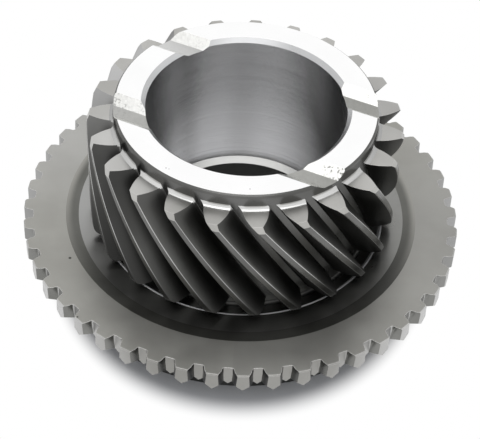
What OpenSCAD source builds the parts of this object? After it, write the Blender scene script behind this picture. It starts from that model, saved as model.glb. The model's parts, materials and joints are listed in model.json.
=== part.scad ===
// One-piece helical gear with a grooved thrust collar on top and a wide
// clutch flange with pointed dog teeth below. All lengths in millimetres.
// Origin: on the bore's axis, in the plane that the part rests on. +Z is up.

/* [Flange and dog teeth] */
// Diameter over the dog teeth
flange_d = 125; // [80:0.5:200]
// Flange thickness, top face to underside
flange_t = 7; // [4:0.1:15]
// Number of dog teeth
dog_count = 48; // [24:1:72]
// Diameter at the bottom of the dog tooth gaps
dog_root_d = 119.5; // [75:0.5:195]
// Dog tooth width at its tip
dog_tip_w = 3.05; // [1:0.05:6]
// Dog tooth width at its root
dog_root_w = 5; // [2:0.05:10]
// How far the dog tooth's flank bulges past a straight line
dog_flank_bulge = 0.2; // [0:0.02:0.6]
// Depth of the dog tooth's point below the flange's top face
dog_point_depth = 5.9; // [3:0.1:10]
// Slope of the point's two faces, seen from outside, in degrees
dog_point_slope = 42; // [20:1:60]
// Fall of the point's ridge toward the axis, in degrees
dog_ridge_tilt = 35; // [0:1:45]
// Back taper of each flank, the tooth growing wider downward, in degrees
dog_back_taper = 3.9; // [0:0.1:8]
// Rounding in the corners between the dog teeth
dog_corner = 0.5; // [0.1:0.05:1]
// Depth of the pointed end of the wall between two teeth
gap_point_depth = 6.4; // [3:0.1:12]
// Depth of that wall's two lower corners
gap_corner_depth = 5.1; // [2:0.1:10]
// Radial thickness of that wall, down to the flange's round core
gap_wall_t = 2.3; // [0.5:0.1:6]
// Edge break along the tops of the dog teeth
dog_edge = 0.3; // [0.1:0.05:1]
// Turn of the dog teeth about the axis, in degrees
dog_turn = 2.66; // [0:0.01:7.5]

/* [Turned face of the flange] */
// Outer diameter of the shallow conical band
band_outer_d = 101; // [60:0.5:160]
// Inner diameter of the shallow conical band
band_inner_d = 93.7; // [55:0.5:150]
// Depth of the turned floor below the flange's top face
floor_depth = 0.45; // [0.1:0.05:3]
// Diameter of the run-out groove's outer edge
runout_d = 81.8; // [50:0.2:130]
// Depth of the run-out groove below the turned floor
runout_depth = 0.7; // [0.2:0.05:3]
// Radius left in the run-out groove's inner corner
runout_fillet = 1; // [0.2:0.1:3]

/* [Helical gear] */
// Diameter over the helical teeth
gear_d = 87; // [50:0.5:140]
// Pitch circle diameter of the helical teeth
gear_pitch_d = 79.8; // [45:0.2:130]
// Root circle diameter of the helical teeth
gear_root_d = 72.6; // [40:0.1:120]
// Number of helical teeth
gear_teeth = 23; // [12:1:60]
// Helix angle at the pitch circle, left hand, in degrees
helix_angle = 33.7; // [0:0.1:45]
// Normal pressure angle, in degrees
pressure_angle = 20; // [14.5:0.5:25]
// Height of the teeth's lower ends above the flange's top face
gear_lift = 1.6; // [0.5:0.1:8]
// Height of the teeth's upper ends above the flange's top face
gear_rise = 35.3; // [15:0.1:80]
// Radial size of the bevel on the upper tooth tips
tip_bevel_w = 0.8; // [0.1:0.05:2]
// Height of the bevel on the upper tooth tips
tip_bevel_h = 1.7; // [0.2:0.05:4]
// Size of the ramp between the tooth ends and the collar
tooth_ramp = 0.9; // [0.2:0.05:2]
// Turn of the helical teeth about the axis, in degrees
gear_turn = -5.82; // [-8:0.01:8]

/* [Collar and bore] */
// Outer diameter of the collar
collar_d = 72.3; // [40:0.1:120]
// Height of the collar's face above the flange's top face
collar_rise = 40; // [18:0.1:90]
// Radial size of the collar's outer edge break
collar_edge_w = 0.6; // [0.1:0.05:2]
// Height of the collar's outer edge break
collar_edge_h = 1; // [0.1:0.05:3]
// Diameter of the running bore
bore_d = 55; // [25:0.5:100]
// Chamfer at the bore's mouth
bore_chamfer = 1.2; // [0.3:0.1:3]
// Diameter of the hole through the shoulder at the bore's lower end
lip_d = 50.6; // [20:0.2:95]
// Depth of the shoulder's outer edge below the flange's top face
lip_depth = 4.9; // [1:0.1:12]
// Height of the shoulder's sloping face
lip_slope_h = 1; // [0.2:0.1:4]

/* [Oil slots in the collar's face] */
// Width of each slot at the face
slot_w = 9.7; // [3:0.1:20]
// Width of each slot's flat floor
slot_floor_w = 4; // [1:0.1:12]
// Depth of each slot
slot_depth = 2.2; // [0.5:0.1:6]
// Distance of the nearer slot's middle line from the axis
slot_near = 16.95; // [8:0.05:30]
// Distance of the farther slot's middle line from the axis
slot_far = 15.3; // [8:0.05:30]
// Turn of both slots about the axis, in degrees
slot_turn = -22.5; // [-90:0.5:90]

/* [Underside] */
// Height of the friction cone below the flange
cone_h = 9; // [4:0.5:20]
// Diameter of the friction cone where it meets the flange
cone_d = 108.5; // [60:0.5:170]
// Half angle of the friction cone, in degrees
cone_angle = 6.5; // [3:0.5:15]
// Inner diameter of the friction cone's wall
cone_inner_d = 92; // [50:0.5:150]
// Outer diameter of the hub's lower end
hub_d = 70; // [40:0.5:120]
// Depth of the ring-shaped recess between hub and cone wall
under_recess = 5.5; // [1:0.5:15]
// Edge break around the underside's edges
under_edge = 0.5; // [0.2:0.1:2]

/* [Hidden] */

$fn = 96;
flange_r = flange_d / 2;
dog_root_r = dog_root_d / 2;
gear_r = gear_d / 2;
pitch_r = gear_pitch_d / 2;
root_r = gear_root_d / 2;
collar_r = collar_d / 2;
bore_r = bore_d / 2;
lip_r = lip_d / 2;
hub_r = hub_d / 2;
under_z = cone_h;
face_z = cone_h + flange_t;
floor_z = face_z - floor_depth;
runout_z = floor_z - runout_depth;
tooth_low_z = face_z + gear_lift;
tooth_top_z = face_z + gear_rise;
top_z = face_z + collar_rise;
lip_z = face_z - lip_depth;
cone_tip_r = cone_d / 2 - cone_h * tan(cone_angle);
blank_over = dog_edge;

// Involute of the helical teeth in the plane across the axis
half_turn = 180;
face_pressure = atan(tan(pressure_angle) / cos(helix_angle));
base_r = pitch_r * cos(face_pressure);
function inv(a) = tan(a) * half_turn / PI - a;
pitch_half = half_turn / gear_teeth / 2;
function flank(r) = pitch_half + inv(face_pressure) - inv(acos(min(1, base_r / r)));

// Where the flank's points lie between root and tip, as shares of the height
flank_share = [0, 0.05, 0.18, 0.42, 0.7, 1];
// How much of the gap the root's rounding takes up at each of those points
rounding_share = [0.38, 0.12, 0, 0, 0, 0];
points_a_side = len(flank_share);
loop_len = 2 * points_a_side * gear_teeth;
function tooth_point(r, half, turn, z) =
    [r * cos(turn + half), r * sin(turn + half), z];
function side_half(i, r) =
    let (own = flank(max(r, base_r)))
    own + (half_turn / gear_teeth - own) * rounding_share[i];
function tooth_loop(z) = [
    for (k = [0 : gear_teeth - 1])
        for (j = [0 : 2 * points_a_side - 1])
            let (
                rising = j < points_a_side,
                i = rising ? j : 2 * points_a_side - 1 - j,
                r = root_r + (gear_r - root_r) * flank_share[i],
                half = side_half(i, r) * (rising ? -1 : 1)
            )
            tooth_point(r, half, level_turn(z) + k * 2 * half_turn / gear_teeth, z)
];
function inner_loop(z) = [
    for (j = [0 : loop_len - 1])
        let (half = 2 * half_turn * j / loop_len - half_turn / gear_teeth)
        tooth_point(inner_r, half, level_turn(z), z)
];

// Turn of the teeth per unit of height, left hand
turn_a_unit = tan(helix_angle) * half_turn / PI / pitch_r;
function level_turn(z) = gear_turn + (tooth_top_z - z) * turn_a_unit;

// Levels of the toothed ring, from above the teeth's ends to below them
helix_slices = 9;
inner_r = (bore_r + collar_r) / 2;
ring_high_z = tooth_top_z + 2 * tooth_ramp;
ring_low_z = tooth_low_z - gear_lift / 2;
levels = [
    for (s = [0 : helix_slices])
        ring_high_z + (ring_low_z - ring_high_z) * s / helix_slices
];
ring_points = concat(
    [for (z = levels) each tooth_loop(z)],
    inner_loop(ring_low_z),
    inner_loop(ring_high_z)
);
function next(j) = (j + 1) % loop_len;
function strip(upper, lower) = [
    for (j = [0 : loop_len - 1])
        each [
            [upper + j, upper + next(j), lower + j],
            [upper + next(j), lower + next(j), lower + j]
        ]
];
loop_count = helix_slices + 3;
ring_faces = [
    for (v = [0 : loop_count - 1])
        each strip(v * loop_len, ((v + 1) % loop_count) * loop_len)
];

// Lathe-cut limits of the helical teeth: ends, tip bevels and collar ramps
module tooth_limits() {
    over = tip_bevel_w;
    rotate_extrude()
        polygon([
            [(bore_r + inner_r) / 2, tooth_low_z],
            [gear_r + over, tooth_low_z],
            [gear_r + over, tooth_top_z - tip_bevel_h - over * tip_bevel_h / tip_bevel_w],
            [gear_r - tip_bevel_w, tooth_top_z],
            [collar_r + tooth_ramp, tooth_top_z],
            [collar_r - tooth_ramp / 2, tooth_top_z + tooth_ramp * 3 / 2],
            [(bore_r + inner_r) / 2, tooth_top_z + tooth_ramp * 3 / 2]
        ]);
}

// The helical teeth as one ring, sunk into the body
module helical_teeth() {
    intersection() {
        polyhedron(points = ring_points, faces = ring_faces);
        tooth_limits();
    }
}

// What the lathe leaves, as a half section that passes outside the dog teeth
module turned_section() {
    polygon([
        [lip_r + under_edge, 0],
        [hub_r - under_edge, 0],
        [hub_r, under_edge],
        [hub_r, under_recess],
        [cone_inner_d / 2, under_recess],
        [cone_inner_d / 2, under_edge],
        [cone_inner_d / 2 + under_edge, 0],
        [cone_tip_r - under_edge, 0],
        [cone_tip_r, under_edge],
        [cone_d / 2, under_z],
        [flange_r + dog_edge, under_z],
        [flange_r + dog_edge, face_z - 2 * dog_edge],
        [flange_r - dog_edge, face_z],
        [band_outer_d / 2, face_z],
        [band_inner_d / 2, floor_z],
        [runout_d / 2, floor_z],
        [runout_d / 2 - runout_depth, runout_z],
        [collar_r + runout_fillet, runout_z],
        [collar_r, runout_z + runout_fillet],
        [collar_r, top_z - collar_edge_h],
        [collar_r - collar_edge_w, top_z],
        [bore_r + bore_chamfer, top_z],
        [bore_r, top_z - bore_chamfer],
        [bore_r, lip_z],
        [lip_r, lip_z - lip_slope_h],
        [lip_r, under_edge]
    ]);
}

// One straight slot across the collar's face, its middle line at a distance
module oil_slot(distance) {
    over_share = 1.2;
    length = collar_d * over_share;
    slope = (slot_w - slot_floor_w) / 2 / slot_depth;
    above = slot_depth;
    rotate([0, 0, slot_turn])
        translate([-length / 2, distance, top_z])
            rotate([90, 0, 90])
                linear_extrude(height = length)
                    polygon([
                        [-slot_floor_w / 2, -slot_depth],
                        [slot_floor_w / 2, -slot_depth],
                        [slot_w / 2 + slope * above, above],
                        [-slot_w / 2 - slope * above, above]
                    ]);
}

// Where the dog teeth and the walls between them end inside the round core
core_r = dog_root_r - gap_wall_t;
dog_inner_r = core_r - dog_edge;
dog_pitch_half = half_turn / dog_count;

// One flank of a dog tooth on the X axis, tilted for the back taper
module dog_flank() {
    mid_r = (dog_root_r + flange_r) / 2;
    mid_half = (dog_tip_w + dog_root_w) / 4 + dog_flank_bulge;
    translate([0, 0, face_z])
        rotate([dog_back_taper, 0, 0])
            translate([0, 0, -2 * flange_t])
                linear_extrude(height = 3 * flange_t)
                    polygon([
                        [dog_inner_r - dog_edge, -dog_root_w],
                        [flange_r + dog_edge, -dog_root_w],
                        [flange_r + dog_edge, dog_tip_w / 2],
                        [flange_r, dog_tip_w / 2],
                        [mid_r, mid_half],
                        [dog_root_r, dog_root_w / 2],
                        [dog_inner_r - dog_edge, dog_root_w / 2]
                    ]);
}

// The pointed lower end of a dog tooth, as a long bar with a roof
module dog_roof() {
    reach = flange_r - dog_inner_r;
    half = 2 * dog_root_w;
    fall = half * tan(dog_point_slope) * cos(dog_ridge_tilt);
    translate([flange_r, 0, face_z - dog_point_depth])
        rotate([0, -dog_ridge_tilt, 0])
            translate([-3 * reach, 0, 0])
                rotate([90, 0, 90])
                    linear_extrude(height = 6 * reach)
                        polygon([
                            [0, 0],
                            [half, fall],
                            [half, 4 * flange_t],
                            [-half, 4 * flange_t],
                            [-half, fall]
                        ]);
}

// One dog tooth on the X axis, standing over the flange's faces
module dog_tooth() {
    intersection() {
        translate([dog_inner_r, -dog_root_w, under_z - 2 * blank_over])
            cube([flange_r - dog_inner_r, 2 * dog_root_w, flange_t + 4 * blank_over]);
        dog_flank();
        mirror([0, 1, 0])
            dog_flank();
        dog_roof();
    }
}

// The wall between two dog teeth on the X axis, with a pointed lower end
module gap_wall() {
    gap_half = dog_root_r * sin(dog_pitch_half) - dog_root_w / 2;
    wall_half = gap_half + 2 * dog_corner;
    roof_half = 2 * wall_half;
    point_slope = (gap_point_depth - gap_corner_depth) / gap_half;
    intersection() {
        translate([0, 0, under_z - blank_over])
            linear_extrude(height = flange_t + 2 * blank_over)
                polygon([
                    [dog_inner_r, -wall_half],
                    [dog_root_r + dog_corner, -wall_half],
                    [dog_root_r, dog_corner - gap_half],
                    [dog_root_r, gap_half - dog_corner],
                    [dog_root_r + dog_corner, wall_half],
                    [dog_inner_r, wall_half]
                ]);
        translate([dog_inner_r - dog_edge, 0, face_z])
            rotate([90, 0, 90])
                linear_extrude(height = flange_r - dog_inner_r)
                    polygon([
                        [0, -gap_point_depth],
                        [roof_half, roof_half * point_slope - gap_point_depth],
                        [roof_half, flange_t],
                        [-roof_half, flange_t],
                        [-roof_half, roof_half * point_slope - gap_point_depth]
                    ]);
    }
}

// Round blank with the walls between the dog teeth standing out of it
module walled_blank() {
    union() {
        translate([0, 0, -blank_over])
            cylinder(r = core_r, h = top_z + 2 * blank_over);
        for (k = [0 : dog_count - 1])
            rotate([0, 0, dog_turn + (2 * k + 1) * dog_pitch_half])
                gap_wall();
    }
}

// The same blank with the dog teeth
module toothed_blank() {
    union() {
        walled_blank();
        for (k = [0 : dog_count - 1])
            rotate([0, 0, dog_turn + 2 * k * dog_pitch_half])
                dog_tooth();
    }
}

// The toothed blank turned to its section, with the two oil slots cut
module turned_body() {
    difference() {
        intersection() {
            toothed_blank();
            rotate_extrude()
                turned_section();
        }
        oil_slot(-slot_near);
        oil_slot(slot_far);
    }
}

// The whole gear, one piece of steel
module transmission_gear() {
    color("silver")
        union() {
            turned_body();
            helical_teeth();
        }
}

transmission_gear();
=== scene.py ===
"""Looks of a helical transmission gear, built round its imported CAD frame."""

import json
import logging
import math
from dataclasses import dataclass, field
from enum import Enum
from typing import Any, Dict, Iterable, List, Optional, Sequence, Tuple, Union

import bmesh
import bpy
from mathutils import Matrix, Vector

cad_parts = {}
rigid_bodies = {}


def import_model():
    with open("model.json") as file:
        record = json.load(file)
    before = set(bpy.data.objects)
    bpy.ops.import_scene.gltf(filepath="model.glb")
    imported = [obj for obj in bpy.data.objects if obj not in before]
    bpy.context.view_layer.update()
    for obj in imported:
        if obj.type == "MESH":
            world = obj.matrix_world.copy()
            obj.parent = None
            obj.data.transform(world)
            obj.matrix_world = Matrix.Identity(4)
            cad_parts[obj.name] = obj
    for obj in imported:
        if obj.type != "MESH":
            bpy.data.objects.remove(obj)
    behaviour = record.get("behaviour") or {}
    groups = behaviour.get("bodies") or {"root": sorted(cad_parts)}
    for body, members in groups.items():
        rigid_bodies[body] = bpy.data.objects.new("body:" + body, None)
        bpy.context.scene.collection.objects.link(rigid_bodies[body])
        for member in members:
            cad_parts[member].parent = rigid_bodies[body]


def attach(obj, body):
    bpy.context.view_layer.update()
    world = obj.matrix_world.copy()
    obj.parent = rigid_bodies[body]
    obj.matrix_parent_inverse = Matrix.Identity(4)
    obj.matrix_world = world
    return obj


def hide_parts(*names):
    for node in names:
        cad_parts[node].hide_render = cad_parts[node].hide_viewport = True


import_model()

LOG = logging.getLogger("gear")
MM = 0.001
FULL_TURN = 2 * math.pi
AROUND = 288
AXIS = Vector((0, 0, 1))
CENTRE = Vector((0, 0, 0))
CAD_NODE = "transmission_gear"
SHARP_ANGLE = math.radians(28)
Point = Tuple[float, float]
Colour = Tuple[float, float, float]


# Sizes, in millimetres and degrees as in the part's source


@dataclass(frozen=True)
class FlangeSizes:
    """Sizes of the clutch flange and its turned face."""

    radius: float = 62.5
    top: float = 16.0
    under: float = 9.0
    band_outer: float = 50.5
    band_inner: float = 46.85
    floor_depth: float = 0.45
    runout: float = 40.5
    runout_depth: float = 0.7
    runout_fillet: float = 1.0
    runout_edge: float = 0.4
    edge: float = 0.3

    @property
    def floor(self) -> float:
        """Height of the turned floor."""
        return self.top - self.floor_depth


@dataclass(frozen=True)
class DogSizes:
    """Sizes of the pointed dog teeth round the flange."""

    count: int = 48
    root: float = 59.75
    tip_w: float = 3.05
    root_w: float = 5.0
    bulge: float = 0.2
    point_depth: float = 5.9
    point_slope: float = 42.0
    ridge_tilt: float = 35.0
    taper: float = 3.9
    corner: float = 0.6
    wall_point: float = 6.4
    wall_corner: float = 5.1
    wall_t: float = 2.3
    turn: float = 2.66
    rounding: float = 0.14
    sharp: float = 25.0

    @property
    def pitch_half(self) -> float:
        """Half the angle from one dog tooth to the next, in radians."""
        return math.pi / self.count

    @property
    def core(self) -> float:
        """Radius of the round core that carries the dog teeth."""
        return self.root - self.wall_t


@dataclass(frozen=True)
class HelicalSizes:
    """Sizes of the helical teeth."""

    count: int = 23
    tip: float = 43.5
    pitch: float = 39.9
    root: float = 36.05
    helix: float = 33.7
    pressure: float = 20.0
    low: float = 17.6
    high: float = 51.3
    bevel_w: float = 0.8
    bevel_h: float = 1.7
    ramp: float = 1.15
    turn: float = -5.82
    fillet_h: float = 1.6
    fillet_share: float = 0.4
    fillet_power: float = 2.4
    fillet_rows: Tuple[float, ...] = (0, 0.07, 0.16, 0.3, 0.5, 0.75)
    rounding: float = 0.16
    rounding_bend: float = 0.3
    end_round: float = 1.3
    flank_points: int = 9
    sweep_steps: int = 44


@dataclass(frozen=True)
class CollarSizes:
    """Sizes of the thrust collar, the bore and the oil slots."""

    radius: float = 36.15
    top: float = 56.0
    edge_w: float = 0.6
    edge_h: float = 1.0
    edge_bend: Point = (0.3, 0.35)
    bore: float = 27.5
    bore_chamfer: float = 1.2
    lip: float = 25.3
    lip_depth: float = 4.9
    lip_slope: float = 1.0
    slot_w: float = 9.7
    slot_floor_w: float = 4.0
    slot_depth: float = 2.2
    slot_near: float = 16.95
    slot_far: float = 15.3
    slot_turn: float = -22.5
    slot_reach: float = 2.4


@dataclass(frozen=True)
class UnderSizes:
    """Sizes of the friction cone, hub and recess under the flange."""

    cone: float = 54.25
    cone_angle: float = 6.5
    cone_inner: float = 46.0
    hub: float = 35.0
    recess: float = 5.5
    edge: float = 0.5


# Mesh building


def quarter(steps: int) -> List[float]:
    """Angles of a quarter turn in equal steps, in radians."""
    return [math.pi / 2 * k / steps for k in range(steps + 1)]


class Cut(Enum):
    """How one solid works on another."""

    ADD = "UNION"
    TAKE = "DIFFERENCE"
    KEEP = "INTERSECT"


class Workpiece:
    """A closed mesh that bmesh operators shape, in millimetres."""

    def __init__(self, name: str) -> None:
        """Start an empty workpiece.

        Args:
            name: Name of the object that it becomes.
        """
        self.name = name
        self.bm = bmesh.new()

    def loop(self, points: Iterable[Sequence[float]]) -> Tuple[List[Any], List[Any]]:
        """Lay a closed line of vertices.

        Args:
            points: Places of the vertices, in order.

        Returns:
            The vertices and the edges between them.
        """
        verts = [self.bm.verts.new(p) for p in points]
        edges = [
            self.bm.edges.new((a, b)) for a, b in zip(verts, verts[1:] + verts[:1])
        ]
        return verts, edges

    def lathe(self, section: Sequence[Point]) -> "Workpiece":
        """Spin a half section of (radius, height) points into a turned solid.

        Args:
            section: Closed line of the half section.

        Returns:
            The workpiece itself.
        """
        verts, edges = self.loop((r, 0, z) for r, z in section)
        bmesh.ops.spin(
            self.bm,
            geom=verts + edges,
            cent=CENTRE,
            axis=AXIS,
            dvec=CENTRE,
            angle=FULL_TURN,
            steps=AROUND,
            use_merge=True,
            use_normal_flip=False,
            use_duplicate=False,
        )
        return self.outward()

    def sweep(
        self, outline: Sequence[Point], high: float, low: float, turn: float, steps: int
    ) -> "Workpiece":
        """Sweep a flat outline down along a helix and close its two ends.

        Args:
            outline: Closed outline in the plane across the axis.
            high: Height at which the sweep starts.
            low: Height at which it ends.
            turn: Angle turned on the way down, in radians.
            steps: Number of steps.

        Returns:
            The workpiece itself.
        """
        verts, edges = self.loop((x, y, high) for x, y in outline)
        bmesh.ops.spin(
            self.bm,
            geom=verts + edges,
            cent=CENTRE,
            axis=AXIS,
            dvec=AXIS * ((low - high) / steps),
            angle=turn,
            steps=steps,
            use_merge=False,
            use_normal_flip=False,
            use_duplicate=False,
        )
        open_edges = [e for e in self.bm.edges if e.is_boundary]
        bmesh.ops.edgeloop_fill(self.bm, edges=open_edges)
        return self.outward()

    def prism(self, plan: Sequence[Sequence[float]], along: Vector) -> "Workpiece":
        """Extrude a flat face into a prism.

        Args:
            plan: Corners of the face.
            along: Way and length of the extrusion.

        Returns:
            The workpiece itself.
        """
        verts, _ = self.loop(plan)
        face = self.bm.faces.new(verts)
        grown = bmesh.ops.extrude_face_region(self.bm, geom=[face])["geom"]
        moved = [v for v in grown if isinstance(v, bmesh.types.BMVert)]
        bmesh.ops.translate(self.bm, verts=moved, vec=along)
        return self.outward()

    def shave(self, place: Vector, outside: Vector) -> "Workpiece":
        """Cut off all that lies beyond a plane and close the cut.

        Args:
            place: A point on the plane.
            outside: Normal that points at what is cut off.

        Returns:
            The workpiece itself.
        """
        bmesh.ops.bisect_plane(
            self.bm,
            geom=self.bm.verts[:] + self.bm.edges[:] + self.bm.faces[:],
            dist=1e-6,
            plane_co=place,
            plane_no=outside,
            clear_outer=True,
            clear_inner=False,
        )
        rim = [e for e in self.bm.edges if e.is_boundary]
        if rim:
            bmesh.ops.edgeloop_fill(self.bm, edges=rim)
        return self

    def soften(self, edges: List[Any], width: float) -> "Workpiece":
        """Round chosen edges with a two-segment bevel.

        Args:
            edges: Edges to round.
            width: Width of the bevel.

        Returns:
            The workpiece itself.
        """
        bmesh.ops.bevel(
            self.bm,
            geom=edges,
            offset=width,
            offset_type="OFFSET",
            segments=2,
            profile=0.5,
            affect="EDGES",
            clamp_overlap=True,
            material=-1,
        )
        return self.outward()

    def repeat(self, count: int, start: float) -> "Workpiece":
        """Turn the piece to its first place and copy it round the axis.

        Args:
            count: Number of copies in a full turn.
            start: Angle of the first one, in radians.

        Returns:
            The workpiece itself.
        """
        first = self.bm.verts[:] + self.bm.edges[:] + self.bm.faces[:]
        self.turn(first, start)
        for k in range(1, count):
            copy = bmesh.ops.duplicate(self.bm, geom=first)["geom"]
            self.turn(copy, FULL_TURN * k / count)
        return self

    def turn(self, geom: List[Any], angle: float) -> None:
        """Turn some of the mesh about the axis by an angle in radians."""
        verts = [v for v in geom if isinstance(v, bmesh.types.BMVert)]
        bmesh.ops.rotate(
            self.bm, verts=verts, cent=CENTRE, matrix=Matrix.Rotation(angle, 3, "Z")
        )

    def outward(self) -> "Workpiece":
        """Point all faces outwards."""
        bmesh.ops.recalc_face_normals(self.bm, faces=self.bm.faces[:])
        return self

    def finish(self) -> bpy.types.Object:
        """Make the object, still in millimetres.

        Returns:
            The new object.
        """
        mesh = bpy.data.meshes.new(self.name)
        self.bm.to_mesh(mesh)
        self.bm.free()
        made = bpy.data.objects.new(self.name, mesh)
        bpy.context.scene.collection.objects.link(made)
        return made


def work(target: bpy.types.Object, tool: bpy.types.Object, cut: Cut) -> None:
    """Let one solid work on another.

    Args:
        target: Object that is changed.
        tool: Object that changes it.
        cut: What the tool does.
    """
    step = target.modifiers.new(tool.name, "BOOLEAN")
    step.operation = cut.value
    step.solver = "MANIFOLD"
    step.object = tool


def settle(target: bpy.types.Object, name: str) -> bpy.types.Object:
    """Apply all steps of an object and bring it to metres.

    Args:
        target: Object with its modifiers.
        name: Name of the finished piece.

    Returns:
        The finished piece, at the origin.
    """
    bpy.context.view_layer.update()
    graph = bpy.context.evaluated_depsgraph_get()
    mesh = bpy.data.meshes.new_from_object(target.evaluated_get(graph))
    mesh.name = name
    mesh.transform(Matrix.Scale(MM, 4))
    made = bpy.data.objects.new(name, mesh)
    bpy.context.scene.collection.objects.link(made)
    return made


# The gear's sub-assemblies


@dataclass
class HelicalTeeth:
    """The ring of left-hand helical teeth."""

    sizes: HelicalSizes = field(default_factory=HelicalSizes)
    collar: CollarSizes = field(default_factory=CollarSizes)

    def involute(self, angle: float) -> float:
        """Involute of an angle in radians."""
        return math.tan(angle) - angle

    def half_angle(self, radius: float) -> float:
        """Half the angle that a tooth fills at a radius, in radians.

        Args:
            radius: Distance from the axis.

        Returns:
            The involute's angle, widened by the root fillet.
        """
        s = self.sizes
        across = math.atan(
            math.tan(math.radians(s.pressure)) / math.cos(math.radians(s.helix))
        )
        base = s.pitch * math.cos(across)
        own = math.acos(min(1.0, base / max(radius, base)))
        flank = (
            math.pi / s.count / 2 + self.involute(across) - self.involute(own)
        )
        rest = max(0.0, 1 - (radius - s.root) / s.fillet_h)
        spread = (math.pi / s.count - flank) * s.fillet_share
        return flank + spread * rest**s.fillet_power

    def side(self) -> List[Point]:
        """One side of a tooth from root to tip, as (radius, half angle) points.

        Returns:
            The points, in order.
        """
        s = self.sizes
        rows = [s.root + s.fillet_h * x for x in s.fillet_rows]
        first, last = s.root + s.fillet_h, s.tip - s.rounding
        for k in range(s.flank_points):
            rows.append(first + (last - first) * k / (s.flank_points - 1))
        points = [(r, self.half_angle(r)) for r in rows]
        edge = self.half_angle(s.tip)
        bend = s.rounding * s.rounding_bend
        points.append((s.tip - bend, edge - bend / s.tip))
        points.append((s.tip, edge - s.rounding / s.tip))
        return points

    def outline(self) -> List[Point]:
        """Closed outline of all teeth at their upper ends.

        Returns:
            Its (x, y) points, in order.
        """
        s = self.sizes
        side = self.side()
        rows = [(r, -a) for r, a in side] + [(s.tip, 0.0)]
        rows += [(r, a) for r, a in reversed(side)] + [(s.root, math.pi / s.count)]
        made = []
        for k in range(s.count):
            centre = math.radians(s.turn) + FULL_TURN * k / s.count
            made += [
                (r * math.cos(centre + a), r * math.sin(centre + a)) for r, a in rows
            ]
        return made

    def limits(self) -> List[Point]:
        """Half section of the ring that bounds the teeth.

        Returns:
            Its (radius, height) points.
        """
        s, c = self.sizes, self.collar
        inner = (c.bore + c.radius) / 2
        over, bend = s.bevel_w, s.end_round
        return [
            (inner, s.low),
            *(
                (s.tip - bend * (1 - math.sin(a)), s.low + bend * (1 - math.cos(a)))
                for a in quarter(5)
            ),
            (s.tip + over, s.low + bend + over),
            (s.tip + over, s.high - s.bevel_h * (1 + over / s.bevel_w)),
            (s.tip - s.bevel_w, s.high),
            *(
                (
                    c.radius + s.ramp * (1 - math.sin(a)),
                    s.high + s.ramp * (1 - math.cos(a)),
                )
                for a in quarter(6)
            ),
            (inner, s.high + s.ramp),
        ]

    def build(self) -> bpy.types.Object:
        """Sweep the outline down its helix and bound it.

        Returns:
            The ring of teeth.
        """
        s = self.sizes
        high, low = s.high + 2 * s.ramp, s.low - s.ramp
        rate = math.tan(math.radians(s.helix)) / s.pitch
        lead = (s.high - high) * rate
        cos, sin = math.cos(lead), math.sin(lead)
        bar = Workpiece("helical_bar").sweep(
            [(x * cos - y * sin, x * sin + y * cos) for x, y in self.outline()],
            high,
            low,
            (high - low) * rate,
            s.sweep_steps,
        )
        made = bar.finish()
        work(made, Workpiece("tooth_limits").lathe(self.limits()).finish(), Cut.KEEP)
        return made


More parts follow.
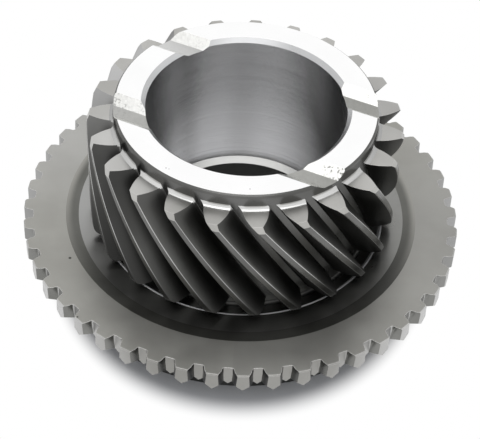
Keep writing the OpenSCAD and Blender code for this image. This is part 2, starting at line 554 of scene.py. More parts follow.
@dataclass
class DogTeeth:
    """The pointed dog teeth and the walls between them."""

    sizes: DogSizes = field(default_factory=DogSizes)
    flange: FlangeSizes = field(default_factory=FlangeSizes)

    def middle(self) -> Tuple[float, float]:
        """Radius and half width of a dog tooth halfway up its flank."""
        s = self.sizes
        return (s.root + self.flange.radius) / 2, (s.tip_w + s.root_w) / 4 + s.bulge

    def tooth(self) -> Workpiece:
        """One dog tooth on the X axis.

        Returns:
            The tooth.
        """
        s, f = self.sizes, self.flange
        inner, over = s.core - f.edge, f.edge
        piece = Workpiece("dog_teeth")
        low, high, half = f.under - 2 * over, f.top + 2 * over, s.root_w
        plan = [(inner, -half), (f.radius, -half), (f.radius, half), (inner, half)]
        piece.prism([(*spot, low) for spot in plan], Vector((0, 0, high - low)))
        mid, mid_half = self.middle()
        stations = [
            (inner, s.root_w / 2),
            (s.root, s.root_w / 2),
            (mid, mid_half),
            (f.radius, s.tip_w / 2),
        ]
        lean = math.radians(s.taper)
        for (x0, y0), (x1, y1) in zip(stations, stations[1:]):
            run = Vector((x1 - x0, y1 - y0, 0)).normalized()
            normal = Matrix.Rotation(lean, 3, "X") @ Vector((-run.y, run.x, 0))
            for side in (1, -1):
                piece.shave(
                    Vector((x0, y0 * side, f.top)),
                    Vector((normal.x, normal.y * side, normal.z)),
                )
        ridge = Vector((1, 0, math.tan(math.radians(s.ridge_tilt))))
        for side in (1, -1):
            slope = Vector((0, side, math.tan(math.radians(s.point_slope))))
            normal = ridge.cross(slope)
            normal = -normal if normal.z > 0 else normal
            piece.shave(Vector((f.radius, 0, f.top - s.point_depth)), normal)
        outer = [
            e
            for e in piece.bm.edges
            if min(v.co.x for v in e.verts) > s.core
            and max(v.co.z for v in e.verts) > f.under
            and not all(v.co.z > f.top for v in e.verts)
        ]
        sharp = [e for e in outer if e.calc_face_angle(0) > math.radians(s.sharp)]
        return piece.soften(sharp, s.rounding)

    def wall(self) -> Workpiece:
        """The wall between two dog teeth, on the X axis.

        Returns:
            The wall.
        """
        s, f = self.sizes, self.flange
        inner, over = s.core - f.edge, f.edge
        mid, mid_half = self.middle()
        share = math.sin(s.pitch_half)
        gap = s.root * share - s.root_w / 2
        along = Vector((mid - s.root, mid * share - mid_half - gap)).normalized()
        start, bend = Vector((s.root, gap - s.corner)), Vector((s.root, gap))
        end = bend + along * s.corner
        arc = [
            start * (1 - t) ** 2 + bend * 2 * t * (1 - t) + end * t**2
            for t in (0, 0.25, 0.5, 0.75, 1)
        ]
        sunk = (s.root + s.corner / 2, end.y + 2 * s.corner)
        half = [(v.x, v.y) for v in arc] + [sunk, (inner, sunk[1])]
        plan = half + [(x, -y) for x, y in reversed(half)]
        low = f.under - over
        piece = Workpiece("dog_walls")
        piece.prism(
            [(x, y, low) for x, y in plan], Vector((0, 0, f.top + over - low))
        )
        rise = (s.wall_point - s.wall_corner) / gap
        for side in (1, -1):
            normal = Vector((0, rise * side, -1)).normalized()
            piece.shave(Vector((s.root, 0, f.top - s.wall_point)), normal)
        return piece.outward()

    def build(self) -> List[bpy.types.Object]:
        """All walls and all teeth, each as one object.

        Returns:
            The walls, then the teeth.
        """
        s = self.sizes
        turn = math.radians(s.turn)
        walls = self.wall().repeat(s.count, turn + s.pitch_half).finish()
        return [walls, self.tooth().repeat(s.count, turn).finish()]


@dataclass
class TurnedBody:
    """All that is turned on the lathe, with the two oil slots milled across."""

    flange: FlangeSizes = field(default_factory=FlangeSizes)
    dogs: DogSizes = field(default_factory=DogSizes)
    collar: CollarSizes = field(default_factory=CollarSizes)
    under: UnderSizes = field(default_factory=UnderSizes)

    def section(self) -> List[Point]:
        """Half section, which passes outside the dog teeth.

        Returns:
            Its (radius, height) points.
        """
        f, c, u = self.flange, self.collar, self.under
        tip = u.cone - f.under * math.tan(math.radians(u.cone_angle))
        floor = f.floor
        low = floor - f.runout_depth
        bend = f.runout_fillet
        fillet = [
            (c.radius + bend * (1 - math.sin(a)), low + bend * (1 - math.cos(a)))
            for a in quarter(4)
        ]
        lip_z = f.top - c.lip_depth
        return [
            (c.lip + u.edge, 0),
            (u.hub - u.edge, 0),
            (u.hub, u.edge),
            (u.hub, u.recess),
            (u.cone_inner, u.recess),
            (u.cone_inner, u.edge),
            (u.cone_inner + u.edge, 0),
            (tip - u.edge, 0),
            (tip, u.edge),
            (u.cone, f.under),
            (f.radius + f.edge, f.under),
            (f.radius + f.edge, f.top - 2 * f.edge),
            (f.radius - f.edge, f.top),
            (f.band_outer, f.top),
            (f.band_inner, floor),
            (f.runout + f.runout_edge, floor),
            (f.runout, floor),
            (f.runout - f.runout_depth, low),
            *fillet,
            (c.radius, c.top - c.edge_h),
            (c.radius - c.edge_w * c.edge_bend[0], c.top - c.edge_h * c.edge_bend[1]),
            (c.radius - c.edge_w, c.top),
            (c.bore + c.bore_chamfer, c.top),
            (c.bore, c.top - c.bore_chamfer),
            (c.bore, lip_z),
            (c.lip, lip_z - c.lip_slope),
            (c.lip, u.edge),
        ]

    def slots(self) -> bpy.types.Object:
        """Cutter of the two oil slots.

        Returns:
            An object with two long bars.
        """
        c = self.collar
        piece = Workpiece("slot_cutter")
        length = c.slot_reach * c.radius
        slope = (c.slot_w - c.slot_floor_w) / 2 / c.slot_depth
        rise = c.slot_depth
        for middle in (-c.slot_near, c.slot_far):
            end = [
                (-c.slot_floor_w / 2, -c.slot_depth),
                (c.slot_floor_w / 2, -c.slot_depth),
                (c.slot_w / 2 + slope * rise, rise),
                (-c.slot_w / 2 - slope * rise, rise),
            ]
            piece.prism(
                [(-length / 2, middle + y, c.top + z) for y, z in end],
                Vector((length, 0, 0)),
            )
        piece.turn(piece.bm.verts[:], math.radians(c.slot_turn))
        return piece.finish()

    def build(self) -> bpy.types.Object:
        """The round blank, with its toothed rim, turned and slotted.

        Returns:
            The body with all its steps.
        """
        c, over = self.collar, self.flange.edge
        core = self.dogs.core
        inner, top = c.lip / 2, c.top + over
        section = [(inner, -over), (core, -over), (core, top), (inner, top)]
        blank = Workpiece("blank").lathe(section).finish()
        for ring in DogTeeth(self.dogs, self.flange).build():
            work(blank, ring, Cut.ADD)
        turned = Workpiece("turned_section").lathe(self.section()).finish()
        work(blank, turned, Cut.KEEP)
        work(blank, self.slots(), Cut.TAKE)
        return blank


# Shader building


class Num:
    """A value in a shader, on which Python's operators build Math nodes."""

    def __init__(self, sheet: "Sheet", socket: Any) -> None:
        """Wrap a socket of a node sheet."""
        self.sheet = sheet
        self.socket = socket

    def math(self, operation: str, *others: Union["Num", float]) -> "Num":
        """Work out an operation on this value and others.

        Args:
            operation: Operation of the Math node.
            *others: Its other values.

        Returns:
            The result.
        """
        values = {0: self}
        values.update({k + 1: v for k, v in enumerate(others)})
        made = self.sheet.node("ShaderNodeMath", {"operation": operation}, values)
        return Num(self.sheet, made.outputs[0])

    def __add__(self, other: Union["Num", float]) -> "Num":
        """Sum."""
        return self.math("ADD", other)

    __radd__ = __add__

    def __mul__(self, other: Union["Num", float]) -> "Num":
        """Product."""
        return self.math("MULTIPLY", other)

    __rmul__ = __mul__

    def __sub__(self, other: Union["Num", float]) -> "Num":
        """Difference."""
        return self.math("SUBTRACT", other)

    def __rsub__(self, other: float) -> "Num":
        """Difference from a number."""
        return (self * -1.0) + other

    def __pow__(self, other: Union["Num", float]) -> "Num":
        """Power."""
        return self.math("POWER", other)

    def reach(self, other: "Num") -> "Num":
        """Distance from zero of the point (self, other)."""
        return (self * self + other * other) ** 0.5

    def ease(self, low: float, high: float) -> "Num":
        """Smooth step from 0 at low to 1 at high.

        Args:
            low: Value that gives 0.
            high: Value that gives 1.

        Returns:
            The step.
        """
        made = self.sheet.node(
            "ShaderNodeMapRange",
            {"interpolation_type": "SMOOTHSTEP"},
            {"Value": self, "From Min": low, "From Max": high},
        )
        return Num(self.sheet, made.outputs["Result"])


class Sheet:
    """The node sheet of one material or world."""

    def __init__(self, tree: bpy.types.NodeTree) -> None:
        """Empty a node tree for use."""
        self.tree = tree
        tree.nodes.clear()

    def node(
        self,
        kind: str,
        settings: Optional[Dict[str, Any]] = None,
        inputs: Optional[Dict[Union[str, int], Any]] = None,
    ) -> bpy.types.Node:
        """Add a node.

        Args:
            kind: Node type.
            settings: Attributes, which are set first.
            inputs: Values or links of sockets, by name or number.

        Returns:
            The new node.
        """
        made = self.tree.nodes.new(kind)
        for name, value in (settings or {}).items():
            setattr(made, name, value)
        for name, value in (inputs or {}).items():
            self.plug(made.inputs[name], value)
        return made

    def plug(self, socket: bpy.types.NodeSocket, value: Any) -> None:
        """Link a socket, or set its value.

        Args:
            socket: Input socket of a node.
            value: A Num, another node's socket, or a plain value.
        """
        if isinstance(value, Num):
            value = value.socket
        if isinstance(value, bpy.types.NodeSocket):
            self.tree.links.new(value, socket)
        else:
            socket.default_value = value

    def place(self) -> Tuple[Num, Num, Num, Any]:
        """Object coordinates as x, y, z and as a vector.

        Returns:
            The three numbers, then the vector.
        """
        coords = self.node("ShaderNodeTexCoord").outputs["Object"]
        split = self.node("ShaderNodeSeparateXYZ", None, {0: coords})
        return (*(Num(self, split.outputs[k]) for k in range(3)), coords)

    def noise(self, where: Any, scale: float, detail: float = 2.0) -> Num:
        """Noise from 0 to 1.

        Args:
            where: Vector for 3D noise, or a Num for noise along one value.
            scale: Scale of the pattern.
            detail: Detail of the pattern.

        Returns:
            The noise value.
        """
        flat = isinstance(where, Num)
        made = self.node(
            "ShaderNodeTexNoise",
            {"noise_dimensions": "1D" if flat else "3D"},
            {"W" if flat else "Vector": where, "Scale": scale, "Detail": detail},
        )
        return Num(self, made.outputs[0])

    def mix(self, share: Union[Num, float], low: Any, high: Any) -> Any:
        """Blend two colours.

        Args:
            share: Share of the second one.
            low: First colour.
            high: Second colour.

        Returns:
            The blended colour's socket.
        """
        made = self.node("ShaderNodeMix", {"data_type": "RGBA"}, {0: share})
        for index, value in ((6, low), (7, high)):
            plain = isinstance(value, tuple)
            self.plug(made.inputs[index], (*value, 1.0) if plain else value)
        return made.outputs[2]

    def seen(self) -> Num:
        """1 for a ray that comes straight or by a mirror from the camera.

        Returns:
            The mask.
        """
        rays = self.node("ShaderNodeLightPath").outputs
        kinds = ("Is Camera Ray", "Is Glossy Ray", "Is Transmission Ray")
        straight, mirrored, through = (Num(self, rays[kind]) for kind in kinds)
        return straight + mirrored + through


class Marks(Enum):
    """Marks that a machine leaves on a surface."""

    RINGS = "rings round the axis"
    HOOPS = "lines round a wall"
    STROKES = "short strokes in all directions"
    CUTTER = "arcs of a milling cutter"
    LEADS = "fine lines along the helix"


# Bright colour of worn edges, which also stands in for a painted highlight.
WORN_EDGE_AND_GLINT = (0.95, 0.95, 0.94)
# Near black of the painted shade low on the helical teeth.
PAINTED_SHADE_BLACK = (0.02, 0.02, 0.019)
PIT = (0.12, 0.12, 0.11)
SPECK = (0.06, 0.06, 0.055)


@dataclass(frozen=True)
class Finish:
    """How one kind of surface of the gear looks.

    Lengths are in metres. The angle of a band is taken from the back of the
    gear towards its right side, in radians.

    Attributes:
        worn: Colour that the mottle and the marks blend into the main one.
        rim: Brightness of the steel at a glancing angle.
        edge: Radius of the edge that the shader rounds.
        edge_wear_and_glint: Share of bright wear along edges, which is also a painted
            highlight on them.
        fleck_share: Share of small pits.
        painted_light_bands: Angle, half width, share and grey of each band of painted
            light and shade round the axis.
        painted_shade_fade: First and last radius in millimetres, and the colour outside
            them, to which the painted shade fades at the back.
        painted_shade_below: Lowest and highest height in millimetres, and the share of
            painted shade towards the bottom.
        specks: Place and size of each single speck, in millimetres.
    """

    name: str
    colour: Colour
    worn: Colour
    roughness: float
    marks: Marks
    mark_scale: float = 2600.0
    mark_height: float = 0.000004
    mark_share: float = 0.1
    roughness_spread: float = 0.08
    mottle_scale: float = 60.0
    metallic: float = 1.0
    rim: float = 1.0
    edge: float = 0.00012
    edge_wear_and_glint: float = 0.0
    fleck_share: float = 0.0
    fleck_scale: float = 1500.0
    painted_light_bands: Tuple[Tuple[float, float, float, float], ...] = ()
    painted_shade_fade: Optional[Tuple[float, float, Colour]] = None
    painted_shade_below: Optional[Tuple[float, float, float]] = None
    specks: Tuple[Tuple[float, float, float, float], ...] = ()

    def pattern(self, sheet: Sheet) -> Num:
        """Height pattern of the machine's marks, from 0 to 1.

        Args:
            sheet: Node sheet of the material.

        Returns:
            The pattern.
        """
        x, y, z, coords = sheet.place()
        if self.marks is Marks.RINGS:
            return sheet.noise(x.reach(y), self.mark_scale, 3.0)
        if self.marks is Marks.HOOPS:
            return sheet.noise(z, self.mark_scale, 3.0)
        if self.marks is Marks.CUTTER:
            turn, stretch = (0, 0, math.radians(22.5)), (1.0, 0.35, 1.0)
            turned = sheet.node(
                "ShaderNodeMapping",
                None,
                {0: coords, "Rotation": turn, "Scale": stretch},
            )
            return sheet.noise(turned.outputs[0], self.mark_scale, 4.0)
        if self.marks is Marks.LEADS:
            return sheet.noise(x.reach(y), self.mark_scale, 2.0)
        return sheet.noise(coords, self.mark_scale, 3.0)

    def wear(self, sheet: Sheet, colour: Any, rounded: Any) -> Any:
        """Brighten the edges, as wear and as a painted highlight.

        Args:
            sheet: Node sheet of the material.
            colour: Colour so far.
            rounded: Normal with its edges rounded.

        Returns:
            The new colour's socket.
        """
        true = sheet.node("ShaderNodeNewGeometry").outputs["Normal"]
        dot = sheet.node(
            "ShaderNodeVectorMath", {"operation": "DOT_PRODUCT"}, {0: rounded, 1: true}
        )
        worn = (1 - Num(sheet, dot.outputs["Value"])).ease(0.01, 0.14)
        return sheet.mix(worn * self.edge_wear_and_glint, colour, WORN_EDGE_AND_GLINT)

    def tone(self, sheet: Sheet, colour: Any) -> Any:
        """Lay painted light and shade round the axis, its fading, and painted shade low
        on the teeth over a colour.

        Args:
            sheet: Node sheet of the material.
            colour: Colour so far.

        Returns:
            The new colour.
        """
        x, y, z, _ = sheet.place()
        # Painted light and shade: each band blends the colour towards its grey at its
        # angle round the axis.
        if self.painted_light_bands:
            around = x.math("ARCTAN2", y)
            for middle, width, share, shade in self.painted_light_bands:
                away = (around - middle).math("ABSOLUTE").ease(0.0, width)
                colour = sheet.mix((1 - away) * share, colour, (shade, shade, shade))
        # The painted shade fades out towards the outer radius, at the back only.
        if self.painted_shade_fade:
            start, end, outside = self.painted_shade_fade
            share = x.reach(y).ease(start * MM, end * MM) * y.ease(-0.03, 0.01)
            colour = sheet.mix(share, colour, outside)
        # Painted shade: the teeth grow darker towards the flange below them.
        if self.painted_shade_below:
            low, high, share = self.painted_shade_below
            deep = 1 - z.ease(low * MM, high * MM)
            colour = sheet.mix(deep * share, colour, PAINTED_SHADE_BLACK)
        return colour

    def spot(self, sheet: Sheet, colour: Any) -> Any:
        """Lay the pits and the specks over a colour.

        Args:
            sheet: Node sheet of the material.
            colour: Colour so far.

        Returns:
            The new colour.
        """
        _, y, _, coords = sheet.place()
        if self.fleck_share:
            fleck = sheet.noise(coords, self.fleck_scale, 3.0).ease(0.54, 0.64)
            patch = sheet.noise(coords, self.fleck_scale * 0.12, 1.0).ease(0.4, 0.62)
            front = 1.2 - y.ease(-0.02, 0.02)
            colour = sheet.mix(fleck * patch * front * self.fleck_share, colour, PIT)
        for *place, size in self.specks:
            away = sheet.node(
                "ShaderNodeVectorMath",
                {"operation": "DISTANCE"},
                {0: coords, 1: tuple(part * MM for part in place)},
            )
            clear = Num(sheet, away.outputs["Value"]).ease(size * MM * 0.4, size * MM)
            colour = sheet.mix(clear, SPECK, colour)
        return colour

    def material(self) -> bpy.types.Material:
        """Build the finish as a material.

        Returns:
            The new material.
        """
        made = bpy.data.materials.new(self.name)
        made.use_nodes = True
        sheet = Sheet(made.node_tree)
        *_, coords = sheet.place()
        marks = self.pattern(sheet)
        mottle = sheet.noise(coords, self.mottle_scale, 4.0).ease(0.3, 0.7)
        shade = mottle * (1 - self.mark_share) + marks * self.mark_share
        spread = self.roughness_spread
        rough = mottle * spread + (self.roughness - spread / 2)
        edge = sheet.node("ShaderNodeBevel", {"samples": 6}, {"Radius": self.edge})
        colour = sheet.mix(shade, self.colour, self.worn)
        if self.edge_wear_and_glint:
            colour = self.wear(sheet, colour, edge.outputs[0])
        colour = self.spot(sheet, self.tone(sheet, colour))
        bump = sheet.node(
            "ShaderNodeBump",
            None,
            {"Distance": self.mark_height, "Height": marks, "Normal": edge.outputs[0]},
        )
        steel = sheet.node(
            "ShaderNodeBsdfPrincipled",
            None,
            {
                "Base Color": colour,
                "Metallic": self.metallic,
                "Specular Tint": (self.rim, self.rim, self.rim, 1.0),
                "Roughness": rough,
                "Normal": bump.outputs[0],
            },
        )
        sheet.node("ShaderNodeOutputMaterial", None, {0: steel.outputs[0]})
        return made


class Zone(Enum):
    """Surfaces of the gear that share a finish; the bands of a finish paint light and
    shade round the axis.
    """

    COLLAR_FACE = Finish(
        "ground_collar_face", (0.97, 0.97, 0.97), (1.0, 1.0, 1.0), 0.16, Marks.RINGS,
        mark_height=0.0000005,
        specks=(
            (-19.93, -27.26, 56, 0.2), (-19.13, -27.57, 56, 0.16), (2, -33.41, 56, 0.2),
        ),
    )
    COLLAR_EDGE = Finish(
        "turned_collar_edge", (0.1, 0.1, 0.096), (0.16, 0.16, 0.155), 0.25, Marks.HOOPS,
        mark_height=0.000001,
    )
    COLLAR_WALL = Finish(
        "ground_collar_wall",
        (0.13, 0.13, 0.126), (0.18, 0.18, 0.176), 0.26, Marks.HOOPS,
        mark_height=0.000001, rim=0.4,
    )
    RAMP = Finish(
        "polished_root_ramp", (0.6, 0.6, 0.59), (0.72, 0.72, 0.71), 0.24, Marks.HOOPS,
        mark_height=0.0000005, painted_light_bands=((-1.5, 1.1, 0.7, 0.25), (1.6, 1.1, 0.7, 0.25)),
    )
    # The bore's bands are painted reflections: they darken the honed wall at some
    # angles round the axis.
    BORE = Finish(
        "honed_bore", (0.9, 0.9, 0.91), (0.97, 0.97, 0.98), 0.26, Marks.HOOPS,
        mark_scale=22000.0, mark_height=0.000024, mottle_scale=12.0,
        painted_light_bands=(
            (-1.35, 0.6, 0.85, 0.12), (-0.66, 0.22, 0.25, 0.12),
            (-0.04, 0.28, 0.18, 0.12), (1.25, 0.95, 1.0, 0.09),
        ),
    )
    BORE_EDGE = Finish(
        "turned_bore_edge", (0.5, 0.505, 0.51), (0.62, 0.625, 0.63), 0.3, Marks.HOOPS,
        mark_height=0.000001,
    )
    LEDGE = Finish(
        "turned_ledge", (0.34, 0.34, 0.33), (0.43, 0.43, 0.42), 0.3, Marks.RINGS,
        mark_height=0.000001,
    )
    # Painted shade on the narrow lip deep in the bore, below the ledge.
    LIP = Finish(
        "lip_painted_shade", (0.03, 0.031, 0.029), (0.05, 0.051, 0.048), 0.4, Marks.HOOPS,
        mark_height=0.000003,
    )
    SLOT_FLANK = Finish(
        "milled_slot_flank", (0.6, 0.6, 0.58), (0.92, 0.92, 0.9), 0.34, Marks.CUTTER,
        mark_scale=1400.0, mark_height=0.00006, mark_share=0.75, fleck_share=0.7,
    )
    SLOT_FLOOR = Finish(
        "milled_slot_floor", (0.28, 0.28, 0.265), (0.45, 0.45, 0.43), 0.4, Marks.CUTTER,
        mark_scale=1500.0, mark_height=0.00003, mark_share=0.5, fleck_share=0.2,
        painted_light_bands=((-1.0, 1.1, 0.75, 0.75),),
    )
    FLANGE = Finish(
        "turned_flange", (0.34, 0.335, 0.31), (0.41, 0.405, 0.378), 0.42, Marks.RINGS,
        mark_height=0.000002, metallic=0.8, edge_wear_and_glint=0.7, edge=0.00026,
        painted_light_bands=((-1.0, 0.9, 0.3, 0.6), (2.6, 0.8, 0.2, 0.12), (1.6, 0.9, 0.3, 0.22)),
        specks=((-46.93, -23.43, 16, 0.55), (-42.39, -44.94, 16, 0.35)),
    )
    # The cone band is the flange's turned steel painted dark as shade from the teeth
    # above; at the back it fades to the flange colour towards its outer edge.
    BAND = Finish(
        "cone_band_painted_shade", (0.12, 0.12, 0.11), (0.16, 0.16, 0.149), 0.36, Marks.RINGS,
        mark_height=0.000002, painted_shade_fade=(48.2, 50.5, (0.33, 0.325, 0.302)),
        painted_light_bands=((2.1, 0.7, 0.5, 0.03),),
    )
    FLOOR = Finish(
        "turned_floor", (0.23, 0.23, 0.22), (0.29, 0.29, 0.28), 0.3, Marks.RINGS,
        mark_height=0.000002, painted_light_bands=((-1.6, 0.8, 0.4, 0.5),),
    )
    # Painted highlight on the runout groove's edge, with painted shade over it at most
    # angles round the axis.
    RUNOUT = Finish(
        "runout_painted_highlight", (0.9, 0.9, 0.89), (1.0, 1.0, 0.99), 0.5, Marks.RINGS,
        mark_height=0.000001, metallic=0.2,
        painted_light_bands=(
            (-1.5, 0.9, 0.8, 0.25), (-3.14, 0.25, 0.5, 0.3),
            (3.14, 0.5, 0.6, 0.3), (2.1, 1.0, 0.8, 0.25), (0.0, 1.2, 0.8, 0.25),
        ),
    )
    # Painted shade in the fillet at the collar's foot, deep under the helical teeth.
    FOOT = Finish(
        "tooth_foot_painted_shade", (0.05, 0.05, 0.048), (0.08, 0.08, 0.077), 0.4, Marks.HOOPS,
        mark_height=0.000001, rim=0.4,
    )
    TIP_LAND = Finish(
        "ground_tip_land", (0.13, 0.13, 0.126), (0.19, 0.19, 0.185), 0.24, Marks.LEADS,
        mark_height=0.000001, painted_shade_below=(18.0, 34.0, 0.75),
    )
    # Painted highlight on the rounded edges of the tooth tips, with painted shade
    # towards the bottom.
    TIP_EDGE = Finish(
        "tip_edge_painted_highlight", (0.4, 0.4, 0.394), (0.7, 0.7, 0.69), 0.3, Marks.LEADS,
        mark_height=0.000001, painted_shade_below=(19.0, 36.0, 0.95),
    )
    GAP = Finish(
        "hobbed_tooth_gap", (0.13, 0.13, 0.125), (0.19, 0.19, 0.185), 0.28, Marks.LEADS,
        mark_height=0.000001, rim=0.4,
    )
    FLANK = Finish(
        "ground_tooth_flank",
        (0.095, 0.095, 0.09), (0.14, 0.14, 0.135), 0.42, Marks.LEADS,
        mark_height=0.000001, rim=0.5, painted_shade_below=(17.0, 36.0, 0.6),
        painted_light_bands=((-1.0, 0.9, 0.7, 0.75), (1.4, 0.7, 0.4, 0.4), (-2.15, 0.55, 0.6, 0.02)),
    )
    TOOTH_END = Finish(
        "turned_tooth_end",
        (0.41, 0.405, 0.386), (0.52, 0.515, 0.496), 0.33, Marks.RINGS,
        mark_height=0.000002, edge_wear_and_glint=0.4,
        painted_light_bands=((1.3, 0.8, 0.3, 0.25), (-2.0, 0.7, 0.3, 0.7)),
    )
    DOG = Finish(
        "dog_tooth_steel",
        (0.26, 0.256, 0.24), (0.34, 0.336, 0.32), 0.32, Marks.STROKES,
        mark_height=0.000002, edge_wear_and_glint=0.5, edge=0.0002,
        painted_light_bands=((-2.2, 0.7, 0.7, 0.65), (2.2, 0.7, 0.7, 0.65)),
    )
    # The dog teeth's flanks are their steel painted darker as shade between the teeth,
    # darkest at the front and lighter at the sides by painted shade and light round the
    # axis.
    DOG_FLANK = Finish(
        "dog_flank_painted_shade", (0.19, 0.19, 0.18), (0.26, 0.26, 0.248), 0.3, Marks.STROKES,
        mark_height=0.000002, edge_wear_and_glint=0.4,
        painted_light_bands=(
            (-1.4, 0.7, 0.8, 0.42), (1.5, 0.7, 0.8, 0.42),
            (-3.14, 0.6, 0.95, 0.02), (3.14, 0.6, 0.95, 0.02),
        ),
    )
    # Painted shade on the friction cone, which lies in the shade under the flange.
    CONE = Finish(
        "friction_cone_painted_shade",
        (0.09, 0.092, 0.086), (0.13, 0.132, 0.126), 0.45, Marks.HOOPS,
        mark_height=0.000004,
    )
    UNDER = Finish(
        "hardened_underside", (0.3, 0.3, 0.29), (0.38, 0.38, 0.37), 0.42, Marks.RINGS,
        mark_height=0.000003,
    )


FACES_UP = 0.95
FACES_OUT = 0.85
FACES_ROUND = 0.6
SLANTS_UP = 0.3
LEDGE_SLANT = 0.2
UPRIGHT = 0.1
HAIR = 0.01
NEAR = 0.02
CLOSE = 0.05
LOOSE = 0.2


@dataclass
class Dresser:
    """Gives each face of the finished gear its finish.

    A face is known by the radius and height of its middle, in millimetres,
    and by the way it faces: the limits above are parts of its normal.
    """

    flange: FlangeSizes = field(default_factory=FlangeSizes)
    dogs: DogSizes = field(default_factory=DogSizes)
    helical: HelicalSizes = field(default_factory=HelicalSizes)
    collar: CollarSizes = field(default_factory=CollarSizes)
    under: UnderSizes = field(default_factory=UnderSizes)

    def slot_zone(self, place: Vector, normal: Vector) -> Optional[Zone]:
        """Find the zone of a face in an oil slot, or None outside both slots.

        Args:
            place: The face's middle.
            normal: The face's normal.

        Returns:
            The zone or None.
        """
        c = self.collar
        turn = Matrix.Rotation(-math.radians(c.slot_turn), 3, "Z")
        spot, facing = turn @ place, turn @ normal
        reach = c.slot_w / 2 + LOOSE
        near = min(abs(spot.y + c.slot_near), abs(spot.y - c.slot_far)) < reach
        level = c.top - c.slot_depth - 0.1 < place.z < c.top - NEAR
        if not (near and level and abs(facing.x) < NEAR and facing.z > SLANTS_UP):
            return None
        return Zone.SLOT_FLOOR if facing.z > FACES_UP else Zone.SLOT_FLANK

    def collar_zone(self, radius: float, normal: Vector) -> Zone:
        """Find the zone of a face of the collar, inside or out.

        Args:
            radius: Distance of the face from the axis.
            normal: The face's normal.

        Returns:
            The zone.
        """
        c = self.collar
        if normal.z > FACES_UP:
            return Zone.COLLAR_FACE
        if normal.z < UPRIGHT:
            return Zone.BORE if radius < c.bore + LOOSE else Zone.COLLAR_WALL
        return Zone.BORE_EDGE if radius < c.radius - 3 else Zone.COLLAR_EDGE

    def tooth_zone(self, radius: float, place: Vector, normal: Vector) -> Zone:
        """Find the zone of a face of a helical tooth.

        Args:
            radius: Distance of the face from the axis.
            place: The face's middle.
            normal: The face's normal.

        Returns:
            The zone.
        """
        h = self.helical
        outward = (normal.x * place.x + normal.y * place.y) / radius
        bevel = place.z > h.high - h.bevel_h - CLOSE and outward > FACES_OUT
        if normal.z > FACES_UP or (bevel and normal.z > SLANTS_UP):
            return Zone.TOOTH_END
        if radius > h.tip - h.rounding - NEAR:
            return Zone.TIP_LAND if radius > h.tip - 0.03 else Zone.TIP_EDGE
        return Zone.FLANK if radius > h.root + 0.4 else Zone.GAP

    def flange_zone(self, radius: float, place: Vector, normal: Vector) -> Zone:
        """Find the zone of a face on the flange, its dog teeth or its floor.

        Args:
            radius: Distance of the face from the axis.
            place: The face's middle.
            normal: The face's normal.

        Returns:
            The zone.
        """
        f, c = self.flange, self.collar
        if radius > self.dogs.core - LOOSE and normal.z < FACES_UP:
            across = abs(normal.x * place.y - normal.y * place.x) / radius
            return Zone.DOG_FLANK if across > FACES_ROUND else Zone.DOG
        if radius > f.band_outer - HAIR:
            return Zone.FLANGE
        if radius > f.band_inner - HAIR:
            return Zone.BAND
        if radius < c.radius + f.runout_fillet and place.z < self.helical.low:
            return Zone.FOOT
        strip = f.runout - f.runout_depth < radius < f.runout + f.runout_edge
        return Zone.RUNOUT if strip else Zone.FLOOR

    def zone(self, place: Vector, normal: Vector) -> Zone:
        """Find the zone of a face.

        Args:
            place: The face's middle, in millimetres.
            normal: The face's normal.

        Returns:
            The zone.
        """
        f, h, c = self.flange, self.helical, self.collar
        radius = math.hypot(place.x, place.y)
        slot = self.slot_zone(place, normal)
        if slot:
            return slot
        if radius < c.radius + 0.005 and place.z > h.high:
            return self.collar_zone(radius, normal)
        if place.z > f.top and radius > c.bore + 1:
            if radius < c.radius + NEAR and abs(normal.z) < UPRIGHT:
                return Zone.COLLAR_WALL
            if place.z > h.high and radius < c.radius + h.ramp:
                return Zone.RAMP
        if place.z > h.low - CLOSE and radius > c.radius + NEAR:
            return self.tooth_zone(radius, place, normal)
        if normal.z < -SLANTS_UP or place.z < f.under - HAIR:
            if radius > c.bore + 0.1 or place.z < 1:
                if radius > self.dogs.core:
                    return Zone.DOG
                return Zone.CONE if radius > self.under.cone_inner + 4 else Zone.UNDER
        if radius < c.bore + LOOSE:
            if place.z > f.top - c.lip_depth:
                return Zone.BORE
            return Zone.LEDGE if normal.z > LEDGE_SLANT else Zone.LIP
        return self.flange_zone(radius, place, normal)

    def dress(self, piece: bpy.types.Object) -> None:
        """Give the gear its materials and smooth shading.

        Args:
            piece: The finished gear, in metres.
        """
        mesh = piece.data
        mesh.materials.clear()
        order = list(Zone)
        for zone in order:
            mesh.materials.append(zone.value.material())
        for face in mesh.polygons:
            face.material_index = order.index(self.zone(face.center / MM, face.normal))
        mesh.shade_smooth()
        mesh.set_sharp_from_angle(angle=SHARP_ANGLE)


# Studio


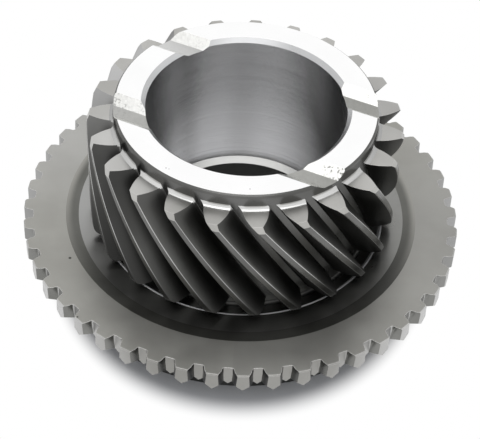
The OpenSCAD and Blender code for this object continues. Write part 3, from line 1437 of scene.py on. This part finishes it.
@dataclass
class Studio:
    """Camera, lamp, floor and backdrop round the gear, in metres."""

    camera_place: Vector = field(
        default_factory=lambda: Vector((0.0, -0.31075, 0.3236))
    )
    camera_aim: Vector = field(
        default_factory=lambda: Vector((-0.00016, 0.0, 0.01119))
    )
    camera_roll: float = math.radians(-3.0185)
    lens: float = 113.16
    lamp_place: Vector = field(default_factory=lambda: Vector((0.0, -0.25, 1.1)))
    lamp_size: float = 0.9
    lamp_strength: float = 1.1
    floor_half: float = 4.0
    shadow_stretch: float = 1.14
    shadow_ends: Point = (0.057, 0.0655)
    # The paper is painted light under the bore and painted shade round the gear,
    # between these radii.
    paper_light_to_shade: Point = (0.024, 0.05)
    paper_painted_light: Colour = (0.95, 0.95, 0.95)
    paper_painted_shade: Colour = (0.66, 0.665, 0.68)
    room_light: Colour = (0.62, 0.63, 0.65)
    backdrop: Colour = (1.0, 1.0, 1.0)

    def camera(self) -> None:
        """Set the camera at the photograph's viewing angle."""
        data = bpy.data.cameras.new("camera")
        data.lens = self.lens
        data.sensor_width = 36.0
        data.clip_start, data.clip_end = 0.01, 20.0
        view = bpy.data.objects.new("camera", data)
        look = (self.camera_aim - self.camera_place).to_track_quat("-Z", "Y")
        roll = Matrix.Rotation(-self.camera_roll, 4, "Z")
        view.matrix_world = (
            Matrix.Translation(self.camera_place) @ look.to_matrix().to_4x4() @ roll
        )
        bpy.context.scene.collection.objects.link(view)
        bpy.context.scene.camera = view

    def lamp(self) -> None:
        """Hang a soft square lamp that faces the gear; strength 1 is white."""
        data = bpy.data.lights.new("top_softbox", "AREA")
        data.shape = "SQUARE"
        data.size = self.lamp_size
        data.energy = self.lamp_strength * math.pi * self.lamp_size**2
        lamp = bpy.data.objects.new("top_softbox", data)
        lamp.location = self.lamp_place
        lamp.rotation_euler = (-self.lamp_place).to_track_quat("-Z", "Y").to_euler()
        bpy.context.scene.collection.objects.link(lamp)

    def floor(self) -> None:
        """Lay the pale floor, which keeps the shadow and fades to white; its paper is
        painted lighter under the bore and painted darker round the gear.
        """
        piece = Workpiece("floor")
        half = self.floor_half
        bmesh.ops.create_grid(piece.bm, x_segments=1, y_segments=1, size=half)
        floor = piece.finish()
        made = bpy.data.materials.new("pale_floor")
        made.use_nodes = True
        sheet = Sheet(made.node_tree)
        x, y, _, _ = sheet.place()
        far = (x * self.shadow_stretch).reach(y).ease(*self.shadow_ends)
        paper_shade_share = x.reach(y).ease(*self.paper_light_to_shade)
        tone = sheet.mix(paper_shade_share, self.paper_painted_light, self.paper_painted_shade)
        paper = sheet.node("ShaderNodeBsdfDiffuse", None, {"Color": tone})
        glow = sheet.node("ShaderNodeEmission", None, {"Strength": 1.0})
        blend = sheet.node(
            "ShaderNodeMixShader",
            None,
            {0: far * sheet.seen(), 1: paper.outputs[0], 2: glow.outputs[0]},
        )
        sheet.node("ShaderNodeOutputMaterial", None, {0: blend.outputs[0]})
        floor.data.materials.append(made)

    def world(self) -> None:
        """Light the room softly, with a white backdrop."""
        room = bpy.data.worlds.new("studio")
        bpy.context.scene.world = room
        room.use_nodes = True
        sheet = Sheet(room.node_tree)
        colour = sheet.mix(sheet.seen(), self.room_light, self.backdrop)
        light = sheet.node("ShaderNodeBackground", None, {0: colour, 1: 1.0})
        sheet.node("ShaderNodeOutputWorld", None, {0: light.outputs[0]})

    def build(self) -> None:
        """Set up the whole studio."""
        self.camera()
        self.floor()
        self.world()
        self.lamp()
        bpy.context.scene.view_settings.view_transform = "Standard"


def main() -> None:
    """Build the gear, dress it, and light it."""
    logging.basicConfig(level=logging.INFO)
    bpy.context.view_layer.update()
    helpers_before = set(bpy.data.objects)
    body = TurnedBody().build()
    work(body, HelicalTeeth().build(), Cut.ADD)
    gear = settle(body, "steel_gear")
    LOG.info("steel_gear has %d faces", len(gear.data.polygons))
    for helper in set(bpy.data.objects) - helpers_before - {gear}:
        bpy.data.objects.remove(helper)
    Dresser().dress(gear)
    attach(gear, "root")
    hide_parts(CAD_NODE)
    Studio().build()


if __name__ == "__main__":
    main()
